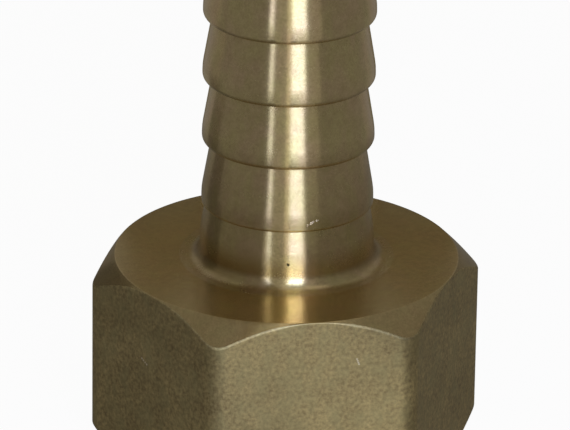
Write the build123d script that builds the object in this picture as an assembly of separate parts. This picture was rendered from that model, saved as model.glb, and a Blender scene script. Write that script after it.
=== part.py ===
from build123d import *
from math import cos, radians, tan
import os

# Hose barb tail: a female pipe fitting with a barbed spigot, turned in one piece from hexagon
# brass bar. It stands on its tapped end with its axis on Z. The hexagon is at the bottom, flats
# towards -Y and +Y, and the barbed tail rises from its top face. A straight bore joins the
# tapped socket to the tip of the tail.

# Hexagon: drawn bar with both ends chamfered in the lathe
across_flats = 27.0
hexagon_height = 15.5
bar_corner_radius = 2.0
end_face_inset = 0.05  # from the flats to the circle where the chamfer starts
end_chamfer_angle = 45.0  # from the end face

# Tail: each barb is a straight land over a lip with a broken edge, then a cone down to its root
bore_diameter = 9.5
tail_wall = 1.25  # at the roots
barb_height = 0.7  # lip above the root
barb_count = 5
barb_pitch = 5.15
barb_land = 1.05  # from the lip's underside, chamfer included
lip_chamfer = 0.3
tip_chamfer = 0.4
bore_tip_chamfer = 0.3

# Neck between the hexagon and the lowest barb
neck_length = 4.55
neck_step = 0.1  # band above the barbs' lips, in radius
neck_band = 2.2  # height of the straight band, fillet included
neck_taper = 0.42  # radius lost in the cone over the band
neck_fillet = 1.0

# Socket, drilled to the crests of the female thread
socket_diameter = 18.63
socket_floor = 4.0  # metal between the end of the thread and the hexagon's top face
mouth_chamfer = 1.4
mouth_chamfer_angle = 45.0  # from the end face
drill_point_angle = 120.0  # included angle of the socket's conical bottom

# Allowance by which one body runs into the next before they are fused or cut
overrun = 1.0

# Sizes that follow
bore_radius = bore_diameter / 2
root_radius = bore_radius + tail_wall
barb_radius = root_radius + barb_height
neck_radius = barb_radius + neck_step
socket_radius = socket_diameter / 2
tail_foot = hexagon_height + neck_length
overall_length = tail_foot + barb_count * barb_pitch


def turned(outline):
    """Solid of revolution about Z from the closed edges of an outline in the XZ plane."""
    return revolve(make_face(outline), axis=Axis.Z)


def at(radius, height):
    """Point of a turned outline."""
    return Vector(radius, 0, height)


def path(*points):
    """Straight edges through the points of a turned outline, in order."""
    return Polyline(*[at(*point) for point in points]).edges()


def hexagon():
    """Hexagon bar with rounded corners, trimmed by a turned blank that has both end chamfers."""
    section = RegularPolygon(across_flats / 2, 6, major_radius=False)
    bar = extrude(section, hexagon_height)
    bar = fillet(bar.edges().filter_by(Axis.Z), bar_corner_radius)
    face_radius = across_flats / 2 - end_face_inset
    blank_radius = across_flats / 2 / cos(radians(30)) + overrun
    drop = (blank_radius - face_radius) * tan(radians(end_chamfer_angle))
    blank = turned(path(
        (0, 0),
        (face_radius, 0),
        (blank_radius, drop),
        (blank_radius, hexagon_height - drop),
        (face_radius, hexagon_height),
        (0, hexagon_height),
        (0, 0),
    ))
    return bar & blank


def neck():
    """Hollow fillet on the hexagon's face, a straight band, and a cone up to the lowest lip."""
    foot_radius = neck_radius + neck_fillet
    fillet_top = hexagon_height + neck_fillet
    buried = hexagon_height - overrun
    hollow = Plane.XZ * CenterArc((foot_radius, fillet_top), neck_fillet, 180, 90)
    outline = hollow.edges() + path(
        (neck_radius, fillet_top),
        (neck_radius, hexagon_height + neck_band),
        (neck_radius - neck_taper, tail_foot),
        (0, tail_foot),
        (0, buried),
        (foot_radius, buried),
        (foot_radius, hexagon_height),
    )
    return turned(outline)


def barb(underside):
    """One barb, from the height of its lip's underside to the next one."""
    top = underside + barb_pitch
    return turned(path(
        (barb_radius - lip_chamfer, underside),
        (barb_radius, underside + lip_chamfer),
        (barb_radius, underside + barb_land),
        (root_radius, top),
        (0, top),
        (0, underside),
        (barb_radius - lip_chamfer, underside),
    ))


def tail():
    """Row of barbs, with the tip's outer edge chamfered."""
    row = Part()
    for number in range(barb_count):
        row += barb(tail_foot + number * barb_pitch)
    return chamfer(row.edges().group_by(Axis.Z)[-1], tip_chamfer)


def waterway():
    """What the drills take out: chamfered mouth, socket with its drill point, bore, tip chamfer."""
    mouth_radius = socket_radius + mouth_chamfer
    mouth_slope = tan(radians(mouth_chamfer_angle))
    thread_end = hexagon_height - socket_floor
    drill_point = (socket_radius - bore_radius) / tan(radians(drill_point_angle / 2))
    return turned(path(
        (0, -overrun),
        (mouth_radius + overrun / mouth_slope, -overrun),
        (socket_radius, mouth_chamfer * mouth_slope),
        (socket_radius, thread_end),
        (bore_radius, thread_end + drill_point),
        (bore_radius, overall_length - bore_tip_chamfer),
        (bore_radius + bore_tip_chamfer + overrun, overall_length + overrun),
        (0, overall_length + overrun),
        (0, -overrun),
    ))


hose_tail = hexagon() + neck() + tail() - waterway()

os.makedirs("parts", exist_ok=True)
export_step(hose_tail, "parts/hose_tail.step")
print(f"overall length {overall_length:.2f} mm, volume {hose_tail.volume:.0f} mm3")
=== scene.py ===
# %% [markdown]
# # A brass hose barb tail
# This fitting joins a flexible hose to a threaded pipe. It is turned from one length of hexagon
# brass bar: a hexagon to hold with a spanner, a neck, and a row of barbs that a hose is pushed
# over. The notebook sets up a camera, builds the fitting as one closed skin, gives it its three
# finishes, and then adds the floor, the cards that the metal reflects and the light. The packed
# model is loaded first, as the frame that every measurement has to agree with.

import bpy
import numpy as np
from mathutils import Matrix, Vector


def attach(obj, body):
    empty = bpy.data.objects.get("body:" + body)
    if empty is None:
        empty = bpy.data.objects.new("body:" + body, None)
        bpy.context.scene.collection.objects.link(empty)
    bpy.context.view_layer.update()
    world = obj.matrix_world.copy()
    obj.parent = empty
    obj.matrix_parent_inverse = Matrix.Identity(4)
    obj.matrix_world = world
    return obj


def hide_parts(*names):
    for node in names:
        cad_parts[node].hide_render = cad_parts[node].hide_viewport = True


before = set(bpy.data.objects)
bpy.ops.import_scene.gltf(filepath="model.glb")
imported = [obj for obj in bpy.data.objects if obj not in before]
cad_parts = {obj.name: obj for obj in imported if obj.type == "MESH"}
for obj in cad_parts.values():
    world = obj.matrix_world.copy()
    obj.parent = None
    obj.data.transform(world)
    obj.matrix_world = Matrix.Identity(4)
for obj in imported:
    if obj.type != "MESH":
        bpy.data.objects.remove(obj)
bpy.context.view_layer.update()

# %% [markdown]
# ## The camera
# A small part is best seen from some way off through a long lens, so that its upright edges stay
# parallel. A camera close by would make the near corners of the hexagon look swollen. The camera
# stands a little left of the front flat and looks down on it, and it leans slightly, as a
# hand-held camera does. It could be aimed by a Track To constraint. Here its three axes are worked
# out and put into its matrix, so that the lean is set along with the rest. It is made first
# because the shapes are judged through it.

# %% Camera
MM = 0.001
CAMERA_TURN = np.radians(-9.5)  # round the part from straight in front, towards the right
CAMERA_REACH = 432 * MM  # level distance from the part's axis
CAMERA_HEIGHT = 201 * MM
CAMERA_PITCH = np.radians(-22.87)
CAMERA_ROLL = np.radians(0.85)
SENSOR_WIDTH = 36  # millimetres
FOCAL_LENGTH = 379.6  # millimetres
FRAME_SHIFT = -0.0035  # share of the picture's width, which moves the part a little to the right
NEAREST, FURTHEST = 0.01, 50  # metres between which the camera sees anything

camera_data = bpy.data.cameras.new("camera")
camera_data.sensor_fit = "HORIZONTAL"
camera_data.sensor_width = SENSOR_WIDTH
camera_data.lens = FOCAL_LENGTH
camera_data.shift_x = FRAME_SHIFT
camera_data.clip_start, camera_data.clip_end = NEAREST, FURTHEST
camera = bpy.data.objects.new("camera", camera_data)
bpy.context.scene.collection.objects.link(camera)
bpy.context.scene.camera = camera


def camera_axes(turn, pitch, roll):
    """Right, up and back vectors of a camera that looks level along +Y before it is turned round
    the part, pitched, and rolled about its line of sight."""
    ahead = np.array([-np.sin(turn) * np.cos(pitch), np.cos(turn) * np.cos(pitch), np.sin(pitch)])
    right = np.array([np.cos(turn), np.sin(turn), 0.0])
    up = np.cross(right, ahead)
    rolled_right = np.cos(roll) * right + np.sin(roll) * up
    rolled_up = np.cos(roll) * up - np.sin(roll) * right
    return rolled_right, rolled_up, -ahead


axes = camera_axes(CAMERA_TURN, CAMERA_PITCH, CAMERA_ROLL)
place = np.eye(4)
place[:3, :3] = np.column_stack(axes)
place[:3, 3] = (
    CAMERA_REACH * np.sin(CAMERA_TURN),
    -CAMERA_REACH * np.cos(CAMERA_TURN),
    CAMERA_HEIGHT,
)
camera.matrix_world = Matrix(place.tolist())
print("camera at", [round(float(value), 3) for value in place[:3, 3]], "m")

# %% [markdown]
# ## Columns round the axis
# Everything on the part except its six flats is turned, so the skin is a grid: columns run along
# the axis, and rows go round it. A turned row has one radius. A row on the hexagon has a radius
# that follows the six flats and their rounded corners. Columns are close together at the corners,
# where the radius changes fast, and further apart over the flats. A cylinder with a hexagon cut
# from it by a Boolean would look the same from afar, but its long thin faces shade badly.

# %% Columns
ACROSS_FLATS = 27.0
CORNER_RADIUS = 2.0
FLAT_COLUMNS = 38
CORNER_COLUMNS = 14
SUPPORT_ANGLE = np.radians(0.12)  # a narrow column beside each corner keeps the flat's shading flat
SIDES = 6
SIXTH = np.pi / 3  # the turn from one corner to the next
HALF_SIXTH = np.pi / 6

flat_distance = ACROSS_FLATS / 2
corner_center = (flat_distance - CORNER_RADIUS) / np.cos(HALF_SIXTH)


def column_angles():
    """Angles of all columns. In each sixth of a turn the corner's arc is divided evenly by its own
    angle, and the flat evenly by the angle seen from the axis, with one narrow column at each end."""
    arc = np.linspace(-HALF_SIXTH, HALF_SIXTH, CORNER_COLUMNS + 1)
    across = CORNER_RADIUS * np.sin(arc)
    corner = np.arctan2(across, corner_center + CORNER_RADIUS * np.cos(arc))
    start, end = corner[-1] + SUPPORT_ANGLE, SIXTH - corner[-1] - SUPPORT_ANGLE
    flat = np.linspace(start, end, FLAT_COLUMNS + 1)
    sixth = np.concatenate([corner, flat])
    return np.concatenate([sixth + side * np.pi / 3 for side in range(SIDES)])


def hexagon_radius(angle):
    """Distance from the axis to the hexagon at each angle: the flat's distance over the cosine of
    the angle from its middle, or near a corner the far root of the corner's circle."""
    from_corner = (angle + HALF_SIXTH) % SIXTH - HALF_SIXTH
    from_flat = angle % SIXTH - HALF_SIXTH
    flat = flat_distance / np.cos(from_flat)
    inside = CORNER_RADIUS**2 - (corner_center * np.sin(from_corner)) ** 2
    round_corner = corner_center * np.cos(from_corner) + np.sqrt(np.maximum(inside, 0))
    tangent = np.arctan2(CORNER_RADIUS / 2, corner_center + CORNER_RADIUS * np.cos(HALF_SIXTH))
    return np.where(np.abs(from_corner) < tangent, round_corner, flat)


angles = column_angles()
hexagon = hexagon_radius(angles)
print(len(angles), "columns, hexagon radius", hexagon.min().round(3), "to", hexagon.max().round(3), "mm")

# %% [markdown]
# ## The turned outline
# A lathe tool leaves a profile: straight cuts joined by the round nose of the tool. The outline
# is written as corners, each with the radius that rounds it, and every corner is replaced by
# an arc between the points where it touches its two lines. One more point close beside each end
# of an arc keeps the bend out of the shading of the straight cuts. A Bevel modifier could round
# the edges too, but only with one width for all, and here a lip and a fillet differ.

# %% Rounded outline
ARC_STEP = np.radians(9)
FINE_ARC_STEP = np.radians(25)  # for roundings too small to show
FINE_RADIUS = 0.1
SUPPORT_STEP = 0.02  # from each end of an arc to the point beside it


def rounded(corners):
    """Points along an open outline, from rows of (radius, height, rounding). A corner that turns
    by an angle t is cut back by rounding * tan(t / 2) on both sides and gets an arc. A rounding
    of 0 leaves it sharp."""
    corners = np.array(corners, float)
    points = [corners[0, :2]]
    for before, here, after in zip(corners[:-2], corners[1:-1], corners[2:]):
        into = (here - before)[:2] / np.hypot(*(here - before)[:2])
        out = (after - here)[:2] / np.hypot(*(after - here)[:2])
        turn = np.arctan2(into[0] * out[1] - into[1] * out[0], into @ out)
        rounding = here[2]
        if rounding == 0:
            points += [here[:2] - into * SUPPORT_STEP, here[:2], here[:2] + out * SUPPORT_STEP]
            continue
        cut = rounding * np.tan(abs(turn) / 2)
        arc_step = ARC_STEP if rounding > FINE_RADIUS else FINE_ARC_STEP
        count = max(2, int(np.ceil(abs(turn) / arc_step)))
        sweep = np.linspace(0, 1, count + 1)[:, None] * turn
        side = np.array([-into[1], into[0]]) * np.sign(turn)
        start = here[:2] - into * cut
        arc = start + rounding * (np.sin(np.abs(sweep)) * into + (1 - np.cos(sweep)) * side)
        points += [start - into * SUPPORT_STEP, *arc, arc[-1] + out * SUPPORT_STEP]
    return np.array(points + [corners[-1, :2]])


print("a square corner rounded by 1 mm:", len(rounded([(0, 0, 0), (5, 0, 1), (5, 5, 0)])), "points")

# %% [markdown]
# ## Neck and barbs
# The neck rises from the hexagon's face out of a hollow fillet, has a short straight band, and
# tapers up to the first barb. A barb has a round lip that faces the hexagon and a long cone that
# lets the hose slide on. The hose can't slip back over the lip. All barbs are cut with the same
# tool path, so one list of corners is repeated along the tail. An Array modifier could repeat a
# barb as well, but a list leaves the skin in one piece and lets the lowest lip differ.

# %% Tail outline
HEX_HEIGHT = 15.5
CHAMFER_INSET = 0.05  # the chamfer starts this far inside the flats
FACE_RADIUS = flat_distance - CHAMFER_INSET
NECK_LENGTH = 4.55
NECK_RADIUS = 6.8
NECK_BAND = 2.2  # height above the hexagon at which the straight band ends
NECK_TAPER = 0.42  # radius lost from there to the first barb
NECK_FILLET = 1.0
BARB_COUNT = 5
BARB_PITCH = 5.15
BARB_RADIUS = 6.7
ROOT_RADIUS = 6.0
BARB_LAND = 1.05
ROOT_ROUNDING = 0.06  # left by the tool's nose under each lip
LIP_RADIUS = 0.45
LOW_LIP_RADIUS = 0.25  # the lowest lip stands only a little proud of the neck
LAND_BLEND = 5.0  # the land runs into the cone in a long soft curve
NECK_BLEND = 7.0  # and so does the neck's band
BORE_RADIUS = 4.75
TIP_CHAMFER = 0.4
BORE_CHAMFER = 0.3
EDGE = 0.05  # what a light deburring leaves on a sharp edge

tail_foot = HEX_HEIGHT + NECK_LENGTH
tip = tail_foot + BARB_COUNT * BARB_PITCH


def tail_corners():
    """Corners of the outline from the hexagon's face up the neck and barbs to the bore."""
    rows = [
        (NECK_RADIUS, HEX_HEIGHT, NECK_FILLET),
        (NECK_RADIUS, HEX_HEIGHT + NECK_BAND, NECK_BLEND),
        (NECK_RADIUS - NECK_TAPER, tail_foot, 0),
    ]
    for barb in range(BARB_COUNT):
        foot = tail_foot + barb * BARB_PITCH
        rows += [
            (BARB_RADIUS, foot, LIP_RADIUS if barb else LOW_LIP_RADIUS),
            (BARB_RADIUS, foot + BARB_LAND, LAND_BLEND),
        ]
        if barb < BARB_COUNT - 1:
            rows.append((ROOT_RADIUS, foot + BARB_PITCH, ROOT_ROUNDING))
    slope = (BARB_RADIUS - ROOT_RADIUS) / (BARB_PITCH - BARB_LAND)
    rows += [
        (ROOT_RADIUS + slope * TIP_CHAMFER, tip - TIP_CHAMFER, EDGE),
        (ROOT_RADIUS - TIP_CHAMFER, tip, EDGE),
        (BORE_RADIUS + BORE_CHAMFER, tip, EDGE),
        (BORE_RADIUS, tip - BORE_CHAMFER, EDGE),
    ]
    return rows


print("tail outline has", len(tail_corners()), "corners up to", tip, "mm")

# %% [markdown]
# ## Bore, socket and pipe thread
# A straight bore runs down the tail. The socket below it was drilled, so it ends in the cone of
# the drill's point, and then tapped with a parallel pipe thread. The thread is a wave in the
# radius that climbs by one pitch in a turn: depth times a rounded triangle wave of height over
# pitch minus turn. It fades where the tap stopped and where the mouth is chamfered. A profile
# could also be swept along a helix, but that gives a second body to join on. A wave keeps the
# thread in the same grid as all the rest.

# %% Thread
THREAD_PITCH = 1.814
CREST_RADIUS = 9.315
THREAD_DEPTH = 1.162
THREAD_TOP = 11.5
THREAD_FADE = 1.9
MOUTH_CHAMFER = 1.4
ROWS_PER_PITCH = 14
DRILL_SLOPE = np.tan(np.radians(30))
WAVE_STRETCH = 1.28  # above 1 it flattens the crests and roots
WAVE_ROUNDNESS = 0.65  # share of the smooth step in the flanks


def thread_wave(turns):
    """0 at a crest and 1 at a root: a triangle wave, stretched about its middle and cut off at 0
    and 1, then mixed with its own smooth step t * t * (3 - 2 * t)."""
    triangle = 1 - np.abs(2 * (turns % 1) - 1)
    stretched = np.clip((triangle - 0.5) * WAVE_STRETCH + 0.5, 0, 1)
    straight = (1 - WAVE_ROUNDNESS) * stretched
    return straight + WAVE_ROUNDNESS * stretched**2 * (3 - 2 * stretched)


def thread_rows():
    """Radius and height of each row of the tapped wall, from its top down to the mouth. The radius
    is the crest's plus depth times fade times wave, or the mouth's cone where that is wider."""
    count = int(np.ceil(THREAD_TOP / THREAD_PITCH * ROWS_PER_PITCH))
    height = np.linspace(THREAD_TOP, 0, count + 1)[1:-1, None]
    wave = thread_wave(height / THREAD_PITCH - angles / (2 * np.pi))
    fade = np.clip((THREAD_TOP - height) / THREAD_FADE, 0, 1)
    radius = CREST_RADIUS + THREAD_DEPTH * fade * wave
    mouth = CREST_RADIUS + MOUTH_CHAMFER - height
    return np.maximum(radius, mouth), np.broadcast_to(height, radius.shape)


print("thread has", thread_rows()[0].shape[0], "rows and", round(THREAD_TOP / THREAD_PITCH, 1), "turns")

# %% [markdown]
# ## Chamfered hexagon
# Both ends of the bar are chamfered in the lathe by a 45 degree cone. Where the cone meets the
# flat sides it draws the arches that every nut and fitting shows: the chamfer is widest at the
# corners and almost nothing in the middle of a flat. A Boolean with a cone would cut the arches
# out of a prism, with ragged faces along them. On the grid this needs no cutting. In each column
# the cone simply ends where its radius reaches the hexagon.

# %% Hexagon rows
ARRIS = 0.3  # rounding between the chamfer and the flats
ARRIS_SHARE = 0.35  # of the chamfer's reach that the rounding may take at most
ARRIS_TURNS = np.radians([11.25, 22.5, 33.75, 45])  # rows of the rounding
ARRIS_SUPPORT = 0.05  # a row this far down the flat keeps its shading flat
LIP = 0.015  # softening where the end face meets the chamfer
LIP_SHARE = 0.3  # of the chamfer's reach that the softening may take at most
LIP_INWARD, LIP_DROP = 0.25, 0.18  # the softening's middle row, in shares of the lip
LIP_OUTWARD = 0.7  # where the cone takes over
CONE_ROWS = 5
CONE_CROWDING = 0.8  # a power below 1 brings the rows together towards the flats
FLAT_ROWS = 7


def chamfer_rows():
    """Radius and drop below the end face for rows over one chamfer, outwards. A 45 degree cone
    drops as much as its radius grows. Its end is cut back by the arris rounding * tan(45 / 2), at
    most by a part of its own reach, and an arc through 45 degrees leads onto the flat."""
    reach = hexagon - FACE_RADIUS
    lip = np.minimum(LIP, reach * LIP_SHARE)
    cut = np.minimum(ARRIS * np.tan(np.pi / 8), reach * ARRIS_SHARE)
    rows = [(FACE_RADIUS - lip, 0 * reach), (FACE_RADIUS - lip * LIP_INWARD, lip * LIP_DROP)]
    cone_start, cone_end = FACE_RADIUS + lip * LIP_OUTWARD, hexagon - cut * np.sqrt(0.5)
    for share in np.linspace(0, 1, CONE_ROWS) ** CONE_CROWDING:
        radius = cone_start + (cone_end - cone_start) * share
        rows.append((radius, radius - FACE_RADIUS))
    rounding = cut / np.tan(np.pi / 8)
    for turn in ARRIS_TURNS:
        inward = rounding * (1 - np.sin(np.pi / 4 + turn))
        drop = cone_end - FACE_RADIUS + rounding * (np.cos(np.pi / 4) - np.cos(np.pi / 4 + turn))
        rows.append((hexagon - inward, drop))
    rows.append((hexagon, rows[-1][1] + ARRIS_SUPPORT))
    return np.array([radius for radius, _ in rows]), np.array([drop for _, drop in rows])


cone_radius, cone_drop = chamfer_rows()
deepest, shallowest = cone_drop.max().round(2), cone_drop[-1].min().round(2)
print("chamfer drops", deepest, "mm at the corners and", shallowest, "mm mid flat")

# %% [markdown]
# ## All rows in one list
# The rows are laid end to end: up the hexagon, up the tail, down the bore and the thread, and
# across the end face back to the start. Hexagon, tail and socket could be three meshes, but the
# real part is one piece, and one skin shows no joints. Each row remembers its finish: turned
# surfaces, the faced ends with their chamfers, or the bar. The chamfer's rounding counts as bar.

# %% Rows of the skin
TURNED, FACED, BAR = range(3)  # the material slots
ARRIS_ROWS = len(ARRIS_TURNS) + 1
RIM = 0.09  # a row this far inside a face's rim keeps the face's shading flat
MOUTH_RIM = 0.06  # and one this far outside the socket's mouth
FACE_RINGS = (12.0, 10.4, 9.0)  # radii of plain rows on the hexagon's upper face, inwards
SHANK_START = 8.4  # where the tail's outline takes over from them
END_RINGS = (11.6, 12.6)  # radii of plain rows on the lower face, outwards
BORE_UPPER, BORE_LOWER = 30.0, 22.0  # heights of the two rows in the straight bore


def level_rows(points):
    """Rows of one radius and one height each, from an outline's points."""
    points = np.array(points)
    shape = (len(points), len(angles))
    return np.broadcast_to(points[:, :1], shape), np.broadcast_to(points[:, 1:], shape)


def between(first, last, count):
    """Evenly spaced rows strictly between two rows."""
    share = np.linspace(0, 1, count + 2)[1:-1, None]
    return first + (last - first) * share


def skin_rows():
    """All rows as arrays of radius and height in millimetres, and the finish of each row."""
    bottom = (cone_radius, cone_drop)
    top = (cone_radius[::-1], HEX_HEIGHT - cone_drop[::-1])
    flats = [between(low[-1], high[0], FLAT_ROWS) for low, high in zip(bottom, top)]
    face = [(radius, HEX_HEIGHT) for radius in (FACE_RADIUS - RIM, *FACE_RINGS)]
    shank = rounded([(SHANK_START, HEX_HEIGHT, 0), *tail_corners(), (BORE_RADIUS, BORE_UPPER, 0)])
    drill_top = THREAD_TOP + (CREST_RADIUS - BORE_RADIUS) * DRILL_SLOPE
    drill_point = (BORE_RADIUS, drill_top, EDGE)
    socket = rounded([(BORE_RADIUS, BORE_LOWER, 0), drill_point, (CREST_RADIUS, THREAD_TOP, 0)])
    mouth = CREST_RADIUS + MOUTH_CHAMFER
    end = [(radius, 0.0) for radius in (mouth, mouth + MOUTH_RIM, *END_RINGS, FACE_RADIUS - RIM)]
    stretches = [
        (bottom, FACED),
        (flats, BAR),
        (top, FACED),
        (level_rows(face), FACED),
        (level_rows(shank), TURNED),
        (level_rows(socket), TURNED),
        (thread_rows(), TURNED),
        (level_rows(end), FACED),
    ]
    counts = [len(rows[0]) for rows, _ in stretches]
    finish = np.repeat([kind for _, kind in stretches], counts)
    finish[counts[0] - ARRIS_ROWS : counts[0] + counts[1] + ARRIS_ROWS] = BAR
    radius = np.concatenate([rows[0] for rows, _ in stretches])
    height = np.concatenate([rows[1] for rows, _ in stretches])
    return radius, height, finish


skin_radius, skin_height, skin_finish = skin_rows()
shares = [int((skin_finish == kind).sum()) for kind in (TURNED, FACED, BAR)]
print(len(skin_finish), "rows, of which turned, faced and bar:", shares)

# %% [markdown]
# ## One closed skin
# The grid becomes a mesh whose last row joins the first and whose last column joins the first, as
# on a ring. So the skin has no poles, no seams and no open edges. Every point also keeps how far
# along the outline it lies, which the finishes need for the marks of the lathe. Smooth shading is
# on everywhere, and the close rows beside each bend keep the flat places flat.

# %% Skin
def skin(name, radius, height, finish):
    """Closed grid mesh in metres. Point (row, column) lies at radius times the cosine and sine of
    the column's angle, at the row's height. Both directions wrap round."""
    rows, columns = radius.shape
    points = np.stack([radius * np.cos(angles), radius * np.sin(angles), height], axis=-1) * MM
    row, column = np.meshgrid(np.arange(rows), np.arange(columns), indexing="ij")
    next_row, next_column = (row + 1) % rows, (column + 1) % columns
    quads = np.stack([
        row * columns + column,
        row * columns + next_column,
        next_row * columns + next_column,
        next_row * columns + column,
    ], axis=-1).reshape(-1, 4)
    mesh = bpy.data.meshes.new(name)
    mesh.from_pydata(points.reshape(-1, 3), [], quads)
    mesh.polygons.foreach_set("use_smooth", np.ones(len(quads), bool))
    mesh.polygons.foreach_set("material_index", np.repeat(finish, columns).astype(np.int32))
    step = np.hypot(np.diff(radius, axis=0), np.diff(height, axis=0)).mean(axis=1)
    along = np.concatenate([[0], np.cumsum(step)]) * MM
    attribute = mesh.attributes.new("along", "FLOAT", "POINT")
    attribute.data.foreach_set("value", np.repeat(along, columns).astype(np.float32))
    mesh.update()
    piece = bpy.data.objects.new(name, mesh)
    bpy.context.scene.collection.objects.link(piece)
    return piece


tail_piece = skin("hose_tail_skin", skin_radius, skin_height, skin_finish)
print("skin:", skin_radius.shape, "grid,", 2 * skin_radius.size, "triangles")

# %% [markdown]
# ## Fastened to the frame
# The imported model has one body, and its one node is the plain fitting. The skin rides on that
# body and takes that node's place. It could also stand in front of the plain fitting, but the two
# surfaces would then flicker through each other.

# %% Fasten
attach(tail_piece, "root")
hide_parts("hose_tail")
print(tail_piece.name, "replaces hose_tail and rides on root")

# %% [markdown]
# ## Writing a finish as sums
# A finish is arithmetic on places: how far along the outline a point lies, how far round, how
# rough the metal is there. It could be drawn by hand in the Shader Editor, but as nodes even a
# short sum is hard to read. A Value stands for a socket, and each operator on it adds one Math
# node. The second form of an operator, such as radd, serves when a plain number stands on its left.

# %% Values
def connect(slot, value):
    """Sets an input socket to a number or colour, or links it to a value or an output."""
    if isinstance(value, Value):
        value = value.socket
    if isinstance(value, bpy.types.NodeSocket):
        slot.id_data.links.new(value, slot)
    else:
        slot.default_value = value


class Value:
    """A socket that can be added, subtracted, multiplied, divided, raised and limited."""

    def __init__(self, socket):
        self.socket = socket

    def math(self, operation, *inputs):
        """One Math node on these inputs, as a value."""
        tree = self.socket.id_data
        node = tree.nodes.new("ShaderNodeMath")
        node.operation = operation
        for slot, value in zip(node.inputs, inputs):
            connect(slot, value)
        return Value(node.outputs[0])

    def __add__(self, other):
        return self.math("ADD", self, other)

    def __radd__(self, other):
        return self.math("ADD", other, self)

    def __sub__(self, other):
        return self.math("SUBTRACT", self, other)

    def __rsub__(self, other):
        return self.math("SUBTRACT", other, self)

    def __mul__(self, other):
        return self.math("MULTIPLY", self, other)

    def __rmul__(self, other):
        return self.math("MULTIPLY", other, self)

    def __truediv__(self, other):
        return self.math("DIVIDE", self, other)

    def __rtruediv__(self, other):
        return self.math("DIVIDE", other, self)

    def __pow__(self, other):
        return self.math("POWER", self, other)

    def above(self, edge, softness):
        """0 below the edge and 1 above it, with a straight ramp of this width between."""
        ramp = self.math("MULTIPLY_ADD", self, 1 / softness, 0.5 - edge / softness)
        return ramp.math("MINIMUM", ramp.math("MAXIMUM", ramp, 0), 1)


print("a value can be added, subtracted, multiplied, divided, raised and limited")

# %% [markdown]
# ## One material and its nodes
# A finish on this part needs few kinds of node: places, noise, colours between colours, and a
# shader. A Finish holds one material and makes them. Math nodes turn a colour grey, so colours go
# through a Mix node and places through a Vector Math node.

# %% Nodes
class Finish:
    """One material and its nodes."""

    def __init__(self, name):
        self.material = bpy.data.materials.new(name)
        self.material.use_nodes = True
        self.tree = self.material.node_tree
        self.tree.nodes.clear()

    def node(self, kind, settings=None, **inputs):
        """A node of any type: its settings are made first, then its sockets by name, with _ for
        a space. Returns the node."""
        made = self.tree.nodes.new("ShaderNode" + kind)
        for name, value in (settings or {}).items():
            setattr(made, name, value)
        for name, value in inputs.items():
            connect(made.inputs[name.replace("_", " ")], value)
        return made

    def place(self):
        """The object's own position in metres, as a vector."""
        return self.node("TexCoord").outputs["Object"]

    def split(self, vector):
        """The three parts of a vector, as values."""
        return [Value(output) for output in self.node("SeparateXYZ", Vector=vector).outputs]

    def noise(self, x, y, z, detail=2.0, roughness=0.5):
        """Smooth noise of three values, from 0 to 1 with 0.5 in the middle."""
        spot = self.node("CombineXYZ", X=x, Y=y, Z=z).outputs[0]
        texture = self.node("TexNoise", Vector=spot, Scale=1.0, Detail=detail, Roughness=roughness)
        return Value(texture.outputs[0])

    def spot(self, place, center, size, wobble):
        """1 inside a small patch round a point, given in millimetres, and 0 outside. The distance
        from the point plus size times (wobble - 0.5) is held against the size, so a wobble from
        noise makes the outline ragged."""
        gap = self.node("VectorMath", {"operation": "DISTANCE"})
        connect(gap.inputs[0], place)
        connect(gap.inputs[1], [value * MM for value in center])
        return 1 - (Value(gap.outputs["Value"]) / MM + size * (wobble - 0.5)).above(size, 0.3 * size)

    def blend(self, share, first, second):
        """Colour between two colours."""
        mix = self.node("Mix", {"data_type": "RGBA"})
        connect(mix.inputs["Factor"], share)
        connect(mix.inputs["A"], first)
        connect(mix.inputs["B"], second)
        return mix.outputs["Result"]

    def surface(self, shader):
        """The material, with this shader as its surface."""
        self.node("OutputMaterial", Surface=shader.outputs[0])
        return self.material


print("a finish makes places, noise, spots, colours between two colours and shaders")

# %% [markdown]
# ## Turned brass
# The lathe leaves very fine rings. They follow the outline, so the pattern is a noise of the
# distance along the outline, drawn out round the axis. Real grooves that fine would take millions
# of faces, so they are a bump. The rings also spread each reflection along the axis and leave it
# sharp across, which is what anisotropy does in the shader: the spread runs a quarter turn from
# the rings. The faced ends are the same metal, cut across, and get the same finish with their
# own colours, roughness and spread.

# %% Turned colours and sizes
GREEN_BRASS = (0.65, 0.54, 0.26, 1.0)
RED_BRASS = (0.67, 0.5, 0.29, 1.0)
FACED_GREEN = (0.65, 0.51, 0.235, 1.0)
FACED_RED = (0.66, 0.485, 0.235, 1.0)
GRAIN_SHADE = (0.34, 0.25, 0.11, 1.0)  # a thin dark film, in spots
TURNED_ROUGHNESS, TURNED_SPREAD = 0.26, 0.95
FACED_ROUGHNESS, FACED_SPREAD = 0.24, 0.65
QUARTER_TURN = 0.25
RING_WIDTH = 0.16 * MM
RING_DEPTH = 0.002 * MM
BAND_RINGS = 6  # rings in a broader band of roughness
SPECKLE = 0.16 * MM
CLOUD = 0.55 * MM
CAST_WIDTH, CAST_HEIGHT = 1.6 * MM, 2.4 * MM  # patches that lean to green or to red
CAST_OFFSET = 5  # another part of the same noise
STAIN = 3 * MM
RING_SPAN, BAND_SPAN = 1.5, 0.8  # the smaller, the further a mark is drawn out round the axis
FILM_OF_SPECKLE, FILM_OF_CLOUD, FILM_OF_STAIN = 0.3, 0.2, 0.14  # share of the dark film from each
UNEVEN_BANDS, UNEVEN_STAIN, UNEVEN_SPECKLE = 0.05, 0.06, 0.03  # change of roughness by each
print("ring marks every", RING_WIDTH / MM, "mm,", RING_DEPTH / MM, "mm deep")
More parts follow.
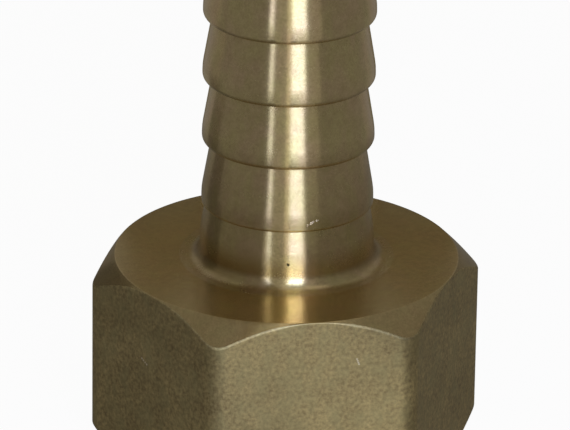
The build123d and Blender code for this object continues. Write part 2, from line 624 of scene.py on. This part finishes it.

# %% [markdown]
# ## Wear on the turned brass, and painted shade at the neck's foot
# Handling has left marks. The lowest lip is chipped and shows bright metal, and there is one dark
# pit on the neck. Round the neck's foot the brass is painted darker, more on its left than on its
# right: painted shade that stands in for the dark flange mirrored there and the shade in the corner.
# Dents this small could be modelled, but would spoil the even grid of the skin. So each chip and
# the pit is a soft patch of colour and bump, and the painted shade a soft patch of colour.

# %% Wear and painted shade
CHIPPED = (0.72, 0.58, 0.4, 1.0)
PITTED = (0.05, 0.035, 0.01, 1.0)
# painted shade: a colour that stands in for the dark flange mirrored at the neck's foot and the shade in
# that corner
FOOT_PAINTED_SHADE = (0.3, 0.2, 0.07, 1.0)
CHIPS = [  # place and size in millimetres
    ((0.53, -6.66, 20.67), 0.1),
    ((0.81, -6.63, 20.81), 0.13),
    ((0.97, -6.61, 20.91), 0.09),
    ((1.25, -6.56, 21.0), 0.1),
]
PIT, PIT_SIZE = (-0.99, -6.8, 17.47), 0.13
CHIP_DEPTH, PIT_DEPTH = 40, 30  # in ring depths
CHIP_COVER, PIT_COVER = 0.8, 0.85  # how fully the mark's colour covers the metal's
FOOT_BOTTOM, FOOT_TOP = 15.7, 17.3  # millimetres
FOOT_RAGGED = 1.4  # how far noise lifts and lowers the upper edge of the painted shade
# shares of the painted shade on the left and on the right of the neck
LEFT_PAINTED_SHADE, RIGHT_PAINTED_SHADE = 0.62, 0.4


def painted_foot_shade(z, round_x, cloud, stain):
    """Share of painted shade: 1 from the foot's bottom up to a ragged top, times a share that grows
    towards the left and the right of the neck and is 0 in front and behind."""
    ragged = z / MM + FOOT_RAGGED * (cloud - 0.5) + FOOT_RAGGED * (stain - 0.5)
    foot = (z / MM).above(FOOT_BOTTOM, 0.3) * (1 - ragged.above(FOOT_TOP, 1.2))
    side = LEFT_PAINTED_SHADE * (0 - round_x).above(0.5, 0.6) + RIGHT_PAINTED_SHADE * round_x.above(0.55, 0.5)
    return foot * side


# the darkening at the neck's foot is painted shade
print(len(CHIPS), "chips, a pit, and tarnish from", FOOT_BOTTOM, "to", FOOT_TOP, "mm")

# %% [markdown]
# ## The turned finish
# All marks meet in one metal shader. The rings and dents go into its bump, and the film, the
# painted shade at the neck's foot and the wear into its colour. They could be layers of separate
# shaders, but metal stays metal under a film this thin, so one shader with a changing colour is
# enough. Bands, stains and speckle make its roughness a little uneven.

# %% Turned finish
def turned_brass(name, green, red, roughness, spread):
    """Ring marks from a noise of (x / r, y / r, distance along the outline / ring width), and
    broader bands of roughness in the same way. The colour lies between green and red by a noise of
    patches. Three more noises, speckle, cloud and stain, lay a dark film over it in spots. Then
    come the painted shade at the neck's foot, the chips and the pit."""
    finish = Finish(name)
    place = finish.place()
    x, y, z = finish.split(place)
    along = Value(finish.node("Attribute", {"attribute_name": "along"}).outputs["Fac"])
    radius = (x * x + y * y) ** 0.5
    round_x, round_y = x / radius, y / radius
    ring_place = round_x * RING_SPAN, round_y * RING_SPAN, along / RING_WIDTH
    rings = finish.noise(*ring_place, detail=3.0)
    band_place = round_x * BAND_SPAN, round_y * BAND_SPAN, along / (RING_WIDTH * BAND_RINGS)
    bands = finish.noise(*band_place, detail=1.0)
    stain = finish.noise(x / STAIN, y / STAIN, z / STAIN, detail=3.0)
    speckle = finish.noise(x / SPECKLE, y / SPECKLE, z / SPECKLE, detail=2.0)
    chip = sum(finish.spot(place, center, size, speckle) for center, size in CHIPS)
    pit = finish.spot(place, PIT, PIT_SIZE, speckle)
    cast_place = x / CAST_WIDTH, y / CAST_WIDTH, z / CAST_HEIGHT + CAST_OFFSET
    cast = finish.noise(*cast_place, detail=3.0)
    cloud = finish.noise(x / CLOUD, y / CLOUD, z / CLOUD, detail=3.0)
    fine_film = FILM_OF_SPECKLE * (1 - speckle).above(0.5, 0.4)
    film = fine_film + FILM_OF_CLOUD * cloud.above(0.5, 0.35) + FILM_OF_STAIN * stain.above(0.5, 0.5)
    # painted shade at the neck's foot, for the mirrored flange and the corner's shade
    painted_shade = painted_foot_shade(z, round_x, cloud, stain)
    metal = finish.blend(film, finish.blend(cast.above(0.5, 0.3), red, green), GRAIN_SHADE)
    metal = finish.blend(painted_shade, metal, FOOT_PAINTED_SHADE)
    metal = finish.blend(CHIP_COVER * chip, metal, CHIPPED)
    height = rings + CHIP_DEPTH * chip * (speckle - 0.5) - PIT_DEPTH * pit
    bump = finish.node("Bump", Strength=1.0, Distance=RING_DEPTH, Height=height)
    uneven = roughness + UNEVEN_BANDS * (bands - 0.5) + UNEVEN_STAIN * (stain - 0.5)
    shader = finish.node(
        "BsdfPrincipled",
        Base_Color=finish.blend(PIT_COVER * pit, metal, PITTED),
        Metallic=1.0,
        Roughness=uneven + UNEVEN_SPECKLE * (speckle - 0.5),
        Anisotropic=spread,
        Anisotropic_Rotation=QUARTER_TURN,
        Normal=bump.outputs[0],
    )
    return finish.surface(shader)


turned = turned_brass("turned_brass", GREEN_BRASS, RED_BRASS, TURNED_ROUGHNESS, TURNED_SPREAD)
faced = turned_brass("faced_brass", FACED_GREEN, FACED_RED, FACED_ROUGHNESS, FACED_SPREAD)
tail_piece.data.materials.append(turned)
tail_piece.data.materials.append(faced)
print("turned brass:", len(turned.node_tree.nodes), "nodes")

# %% [markdown]
# ## Drawn bar
# The flats are the skin of the bar as it was bought: pulled through a die, handled and knocked
# about, so they are dull and mottled. The mottling is a fine grain in height and roughness over
# a coarser cloud, with faint lines along the bar from the die. A picture of brass wrapped round
# the bar would show seams at the corners. Noise in three dimensions has none. A few short nicks
# are rows of the same soft spots as the chips.

# %% Bar colours and sizes
BAR_BRASS = (0.68, 0.54, 0.255, 1.0)
BAR_DARK = (0.31, 0.235, 0.12, 1.0)
BAR_DULL = (0.46, 0.4, 0.2, 1.0)  # a greenish grey film
NICKED = (0.85, 0.76, 0.55, 1.0)
BAR_ROUGHNESS = 0.48
GRAIN = 0.3 * MM
GRAIN_DEPTH = 0.012 * MM
BAR_CLOUD = 8 * GRAIN
FILM_WIDTH, FILM_HEIGHT = 4 * GRAIN, 7 * GRAIN
FILM_OFFSET = 7  # another part of the same noise
LINE_WIDTH, LINE_LENGTH = 0.5 * GRAIN, 40 * GRAIN
HEIGHT_OF_GRAIN, HEIGHT_OF_CLOUD, HEIGHT_OF_LINES = 0.75, 0.15, 0.1
BRIGHT_BY_CLOUD, BRIGHT_BY_GRAIN = 0.25, 0.75  # shares of the bright brass from each noise
ROUGH_BY_CLOUD, ROUGH_BY_GRAIN = 0.1, 0.2  # change of roughness by each
DULL_COVER, NICK_COVER = 0.5, 0.9  # how fully the film and the nicks cover the metal's colour
NICKS = [  # a start, an end and a half width in millimetres
    ((3.34, -13.5, 12.3), (3.5, -13.5, 11.85), 0.07),
    ((-12.2, -5.87, 9.86), (-11.9, -6.39, 9.55), 0.08),
    ((13.1, -3.31, 6.2), (12.9, -3.66, 5.7), 0.07),
    ((6.2, 13.5, 8.3), (6.5, 13.5, 7.8), 0.08),
]
NICK_SHARES = (0, 0.33, 0.67, 1)  # places of a nick's spots between its ends


def nick_spots():
    """Center and size of each spot: the start plus a share of the way to the end."""
    return [
        (np.array(first) + (np.array(last) - first) * share, width)
        for first, last, width in NICKS
        for share in NICK_SHARES
    ]


print("grain of", GRAIN / MM, "mm and", len(nick_spots()), "spots for", len(NICKS), "nicks")

# %% [markdown]
# ## The bar's finish
# The bar gets the same kind of shader as the turned brass, but rougher and without rings, because
# its skin was never cut. Anisotropy would be wrong here: grain spreads a reflection evenly to all
# sides. The grain drives colour, height and roughness together, and one noise could do it all. The
# clouds, the film and the die lines are noises of their own, so that no two places look alike.

# %% Bar finish
def bar_brass():
    """Grain from a noise at the grain's size, clouds from one eight times as large, and die lines
    from one stretched along the axis. The dull film lies where a fourth noise is high."""
    finish = Finish("bar_brass")
    place = finish.place()
    x, y, z = finish.split(place)
    grain = finish.noise(x / GRAIN, y / GRAIN, z / GRAIN, detail=3.0, roughness=0.65)
    cloud = finish.noise(x / BAR_CLOUD, y / BAR_CLOUD, z / BAR_CLOUD, detail=3.0)
    film_place = x / FILM_WIDTH + FILM_OFFSET, y / FILM_WIDTH, z / FILM_HEIGHT
    film = finish.noise(*film_place, detail=4.0, roughness=0.6)
    lines = finish.noise(x / LINE_WIDTH, y / LINE_WIDTH, z / LINE_LENGTH, detail=1.0)
    height = HEIGHT_OF_GRAIN * grain + HEIGHT_OF_CLOUD * cloud + HEIGHT_OF_LINES * lines
    bump = finish.node("Bump", Strength=1.0, Distance=GRAIN_DEPTH, Height=height)
    nicks = sum(finish.spot(place, center, size, grain) for center, size in nick_spots())
    bright = BRIGHT_BY_CLOUD * cloud.above(0.5, 0.4) + BRIGHT_BY_GRAIN * grain.above(0.5, 0.38)
    metal = finish.blend(bright, BAR_DARK, BAR_BRASS)
    metal = finish.blend(DULL_COVER * film.above(0.55, 0.25), metal, BAR_DULL)
    shader = finish.node(
        "BsdfPrincipled",
        Base_Color=finish.blend(NICK_COVER * nicks, metal, NICKED),
        Metallic=1.0,
        Roughness=BAR_ROUGHNESS + ROUGH_BY_CLOUD * (cloud - 0.5) + ROUGH_BY_GRAIN * (grain - 0.5),
        Normal=bump.outputs[0],
    )
    return finish.surface(shader)


tail_piece.data.materials.append(bar_brass())
print("bar brass:", len(tail_piece.data.materials[2].node_tree.nodes), "nodes")

# %% [markdown]
# ## Floor
# The part stands on white paper that curves up far away on all sides, so that no edge shows. More
# light could turn the paper white, but it would bleach the brass too. So the camera and the
# mirror images in the metal see the paper as nearly plain white, and a small share of its own
# diffuse shading is kept so that the part's shadow lies on it.

# %% Floor
FLOOR_FLAT = 1.2
FLOOR_EDGE = 1.6
FLOOR_RISE = 0.3
FIRST_RING = 0.002
FLAT_RINGS, CURVED_RINGS = 24, 12
FLOOR_COLUMNS = 96
PAPER = (0.9, 0.9, 0.9, 1.0)
WHITE = (1.0, 1.0, 1.0, 1.0)
PAPER_GLOW = 0.96  # share of plain white in what the camera and the metal see


def paper_sweep():
    """Disc whose height is zero out to the flat radius and then rises as the square of the
    distance beyond it, on a grid of radius and angle."""
    flat = np.geomspace(FIRST_RING, FLOOR_FLAT, FLAT_RINGS)
    curved = np.linspace(FLOOR_FLAT, FLOOR_EDGE, CURVED_RINGS + 1)[1:]
    radius = np.concatenate([flat, curved])
    angle = np.linspace(0, 2 * np.pi, FLOOR_COLUMNS + 1)[:-1]
    height = FLOOR_RISE * (np.maximum(radius - FLOOR_FLAT, 0) / (FLOOR_EDGE - FLOOR_FLAT)) ** 2
    x, y = np.outer(radius, np.cos(angle)), np.outer(radius, np.sin(angle))
    rings = np.stack([x, y, np.repeat(height[:, None], FLOOR_COLUMNS, axis=1)], axis=-1)
    row, column = np.meshgrid(np.arange(len(radius) - 1), np.arange(FLOOR_COLUMNS), indexing="ij")
    following = (column + 1) % FLOOR_COLUMNS
    inner, outer = row * FLOOR_COLUMNS, (row + 1) * FLOOR_COLUMNS
    corners = [inner + column, outer + column, outer + following, inner + following]
    quads = np.stack(corners, axis=-1)
    mesh = bpy.data.meshes.new("paper")
    faces = quads.reshape(-1, 4).tolist() + [list(range(FLOOR_COLUMNS))]
    mesh.from_pydata(rings.reshape(-1, 3).tolist(), [], faces)
    mesh.polygons.foreach_set("use_smooth", np.ones(len(faces), bool))
    return mesh


def white_paper():
    """Diffuse white, and for camera, glossy and transmission rays mostly plain white: a mix of
    the two by the glow times (1 for such a ray and 0 for any other)."""
    finish = Finish("white_paper")
    rays = finish.node("LightPath").outputs
    seen = Value(rays["Is Camera Ray"]) + rays["Is Glossy Ray"] + rays["Is Transmission Ray"]
    paper = finish.node("BsdfDiffuse", Color=PAPER)
    glow = finish.node("Emission", Color=WHITE, Strength=1.0)
    mix = finish.node("MixShader")
    connect(mix.inputs[0], PAPER_GLOW * seen)
    connect(mix.inputs[1], paper.outputs[0])
    connect(mix.inputs[2], glow.outputs[0])
    return finish.surface(mix)


floor = bpy.data.objects.new("paper", paper_sweep())
floor.data.materials.append(white_paper())
bpy.context.scene.collection.objects.link(floor)
print("paper sweep:", len(floor.data.polygons), "faces")

# %% [markdown]
# ## Grey cards
# Bare brass shows whatever stands round it. On white paper alone it would go pale, so in a studio
# grey cards stand close round such a part, and the gaps between them become the bright stripes
# down the metal. Real cards would have to be lit, and would shade the part and each other. These
# are surfaces that glow in one plain tone each, and only reflections see them: they are hidden
# from the camera, cast no shadow and light nothing else. The upright cards stand on a circle, where
# the barbs mirror them. The neck and the lowest barb mirror the low skirt under them. Four more
# lie on the ground, which is what the flats mirror when they are seen from above.

# %% Card tones and places
CARD_RADIUS = 22 * MM
SKIRT_BOTTOM, CARD_BOTTOM, CARD_MIDDLE, CARD_TOP = 11 * MM, 20 * MM, 31 * MM, 60 * MM
GROUND_INNER, GROUND_OUTER, GROUND_HEIGHT = 14.5 * MM, 150 * MM, 0.1 * MM
SIDE_STEP = CARD_MIDDLE - 4 * MM  # where the cards on the left side change tone
GREY = (0.232, 0.23, 0.228)
PALE = (0.37, 0.37, 0.36)
CREAM = (0.8, 0.78, 0.72)
LIGHT_GREY = (0.28, 0.27, 0.26)
BRONZE = (0.165, 0.14, 0.09)
DARK = (0.125, 0.118, 0.105)
DIM = (0.15, 0.143, 0.13)
FRONT_GREY = (0.25, 0.24, 0.215)
FRONT_PALE = (0.47, 0.46, 0.42)
SHADE = (0.09, 0.085, 0.075)
UPRIGHT_CARDS = {  # first and last direction in degrees, bottom, top and tone
    "card_right_pale": (10, 27, CARD_BOTTOM, CARD_TOP, PALE),
    "card_right": (27, 100, CARD_BOTTOM, CARD_TOP, GREY),
    "card_middle": (-27.1, -12, SKIRT_BOTTOM, CARD_TOP, PALE),
    "card_cream": (-12, -8, SKIRT_BOTTOM, CARD_TOP, CREAM),
    "card_left": (-100, -32.3, CARD_BOTTOM, CARD_TOP, GREY),
    "card_back_right": (100, 130, CARD_BOTTOM, CARD_TOP, LIGHT_GREY),
    "card_back_left": (-152, -125, CARD_BOTTOM, CARD_TOP, LIGHT_GREY),
    "card_side_left": (-125, -100, SIDE_STEP, CARD_TOP, LIGHT_GREY),
    "card_edge_right": (130, 150, CARD_MIDDLE, CARD_TOP, LIGHT_GREY),
    "card_edge_left": (-170, -152, CARD_MIDDLE, CARD_TOP, LIGHT_GREY),
    "card_low_right": (130, 150, CARD_BOTTOM, CARD_MIDDLE, BRONZE),
    "card_low_left": (-170, -152, CARD_BOTTOM, CARD_MIDDLE, BRONZE),
    "card_dark_left": (-125, -100, CARD_BOTTOM, SIDE_STEP, DARK),
    "skirt_right": (12, 150, SKIRT_BOTTOM, CARD_BOTTOM, DIM),
    "skirt_left": (-95, -35, SKIRT_BOTTOM, CARD_BOTTOM, DIM),
    "skirt_side_left": (-125, -95, SKIRT_BOTTOM, CARD_BOTTOM, SHADE),
    "skirt_back_left": (-170, -125, SKIRT_BOTTOM, CARD_BOTTOM, DIM),
}
GROUND_CARDS = {  # first and last direction in degrees, and tone
    "ground_front": (-24, 0, FRONT_GREY),
    "ground_front_right": (0, 32, FRONT_PALE),
    "ground_right": (32, 180, DIM),
    "ground_left": (-180, -24, DARK),
}
print(len(UPRIGHT_CARDS), "upright cards and", len(GROUND_CARDS), "on the ground")

# %% [markdown]
# ## One card
# A card is a strip of a cylinder where it stands, and of a flat disc where it lies. Both are a
# band between two rings, so one function makes them all. A plane bent by a modifier would do for
# the upright ones only.

# %% Cards
CARD_COLUMNS = 96


def card(name, first, last, inner, outer):
    """Band between two rings, each a radius and a height, over the directions from first to last,
    in degrees from straight in front towards the right, on a grid of direction and ring. A
    direction t on a ring lies at radius times (sin t, -cos t), at the ring's height."""
    turn = np.radians(np.linspace(first, last, CARD_COLUMNS + 1))
    rings = [
        np.stack([radius * np.sin(turn), -radius * np.cos(turn), np.full(len(turn), height)], axis=-1)
        for radius, height in (inner, outer)
    ]
    start = np.arange(CARD_COLUMNS)
    across = start + len(turn)
    quads = np.stack([start, start + 1, across + 1, across], axis=-1)
    mesh = bpy.data.meshes.new(name)
    mesh.from_pydata(np.concatenate(rings).tolist(), [], quads.tolist())
    piece = bpy.data.objects.new(name, mesh)
    bpy.context.scene.collection.objects.link(piece)
    for ray in ("camera", "shadow", "diffuse"):
        setattr(piece, "visible_" + ray, False)
    return piece


def plain_tone(name, colour):
    """A card's surface, which shows the same tone from everywhere. At a strength of 1 the tone
    renders as it is written."""
    finish = Finish(name)
    return finish.surface(finish.node("Emission", Color=(*colour, 1.0), Strength=1.0))


for card_name, (first, last, bottom, top, tone) in UPRIGHT_CARDS.items():
    piece = card(card_name, first, last, (CARD_RADIUS, bottom), (CARD_RADIUS, top))
    piece.data.materials.append(plain_tone(card_name, tone))
for card_name, (first, last, tone) in GROUND_CARDS.items():
    inner, outer = (GROUND_INNER, GROUND_HEIGHT), (GROUND_OUTER, GROUND_HEIGHT)
    piece = card(card_name, first, last, inner, outer)
    piece.data.materials.append(plain_tone(card_name, tone))
print("cards:", ", ".join([*UPRIGHT_CARDS, *GROUND_CARDS]))

# %% [markdown]
# ## Light
# Three tall soft lamps stand in front. A strong one shines through the front gap between the
# cards and makes the main stripe down the brass. A thin one on the left makes the second stripe,
# and a wide weak one between them fills the front. They could be one big window, but then the
# stripes couldn't be placed one by one. A fourth hangs above, a little to the right. The strong
# and the thin lamp are bluish like daylight. The world is a dim warm room all round.

# %% Lamps and world
ROOM = (0.15, 0.126, 0.08, 1.0)
DAYLIGHT = (0.82, 0.98, 1.45)
NEUTRAL = (1, 1, 1)
AIM = (0, 0, 0.02)  # the point that the lamps face, in metres
LAMPS = {  # direction in degrees, height, distance from the axis, width, length, radiance, colour
    "front_strip": (3.3, 0.23, 0.45, 0.156, 0.4, 4.8, DAYLIGHT),
    "front_thin": (-32.8, 0.2, 0.45, 0.046, 0.4, 2.4, DAYLIGHT),
    "front_wide": (-15, 0.2, 0.45, 0.175, 0.4, 1.0, NEUTRAL),
    "top_soft": (90, 0.6, 0.1, 0.3, 0.3, 0.6, NEUTRAL),
}


def soft_lamp(name, turn, height, reach, width, tall, radiance, colour):
    """Area lamp that faces the part. Its power is radiance times pi times its area."""
    data = bpy.data.lights.new(name, "AREA")
    data.shape = "RECTANGLE"
    data.size, data.size_y = width, tall
    data.energy = radiance * np.pi * width * tall
    data.color = colour
    lamp = bpy.data.objects.new(name, data)
    bpy.context.scene.collection.objects.link(lamp)
    lamp.location = (reach * np.sin(np.radians(turn)), -reach * np.cos(np.radians(turn)), height)
    aim = Vector(AIM) - lamp.location
    lamp.rotation_euler = aim.to_track_quat("-Z", "Y").to_euler()
    lamp.visible_camera = False
    return lamp


lamps = [soft_lamp(name, *settings) for name, settings in LAMPS.items()]

world = bpy.data.worlds.new("room")
world.use_nodes = True
world.node_tree.nodes["Background"].inputs["Color"].default_value = ROOM
bpy.context.scene.world = world
bpy.context.scene.view_settings.view_transform = "Standard"
print("lamps:", [lamp.name for lamp in lamps])
